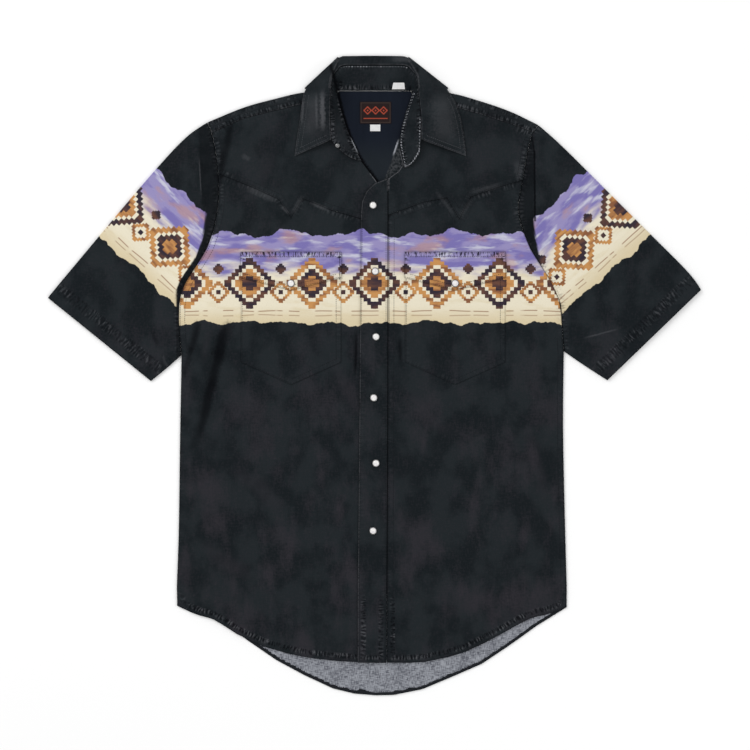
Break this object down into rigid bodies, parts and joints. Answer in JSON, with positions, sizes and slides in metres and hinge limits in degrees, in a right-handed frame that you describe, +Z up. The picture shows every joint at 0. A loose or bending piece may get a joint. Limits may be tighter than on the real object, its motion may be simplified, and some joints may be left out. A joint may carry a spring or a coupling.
{
  "type": "western snap shirt",
  "caption": "Short-sleeved western shirt laid flat, with pointed yokes, flap pockets, a pointed collar, pearl snaps and a long rounded shirttail.",
  "frame": {"origin": "middle of the underside, where the back panel lies on the surface", "axes": "+Z up from the surface, +Y towards the collar, +X towards the wearer's left sleeve (right in the picture)"},
  "size_m": [0.9007, 0.8821, 0.0297],
  "materials": {
    "twill": "washed black cotton twill with a printed chest band, worn paler at seams and edges",
    "lining": "dark navy cotton lining",
    "pearl": "white pearl snap cap in a metal ring",
    "snap_metal": "plain nickel snap half",
    "label": null,
    "tab": "white satin tab, blank"
  },
  "bodies": {
    "root": {"back": "twill", "back_yoke": "twill", "yoke_lining": "lining", "front_right": "twill", "front_left": "twill", "front_yoke_right": "twill", "front_yoke_left": "twill", "placket": "twill", "sleeve_right": "twill", "sleeve_left": "twill", "collar_stand": "twill", "collar_leaf": "twill", "pocket_right": "twill", "pocket_left": "twill", "flap_right": "twill", "flap_left": "twill", "snap_1": "pearl", "snap_2": "pearl", "snap_3": "pearl", "snap_4": "pearl", "snap_5": "pearl", "snap_6": "pearl", "flap_snap_right": "pearl", "flap_snap_left": "pearl", "stand_stud": "snap_metal", "neck_label": "label", "size_label": "tab", "care_label": "tab"}
  },
  "joints": []
}
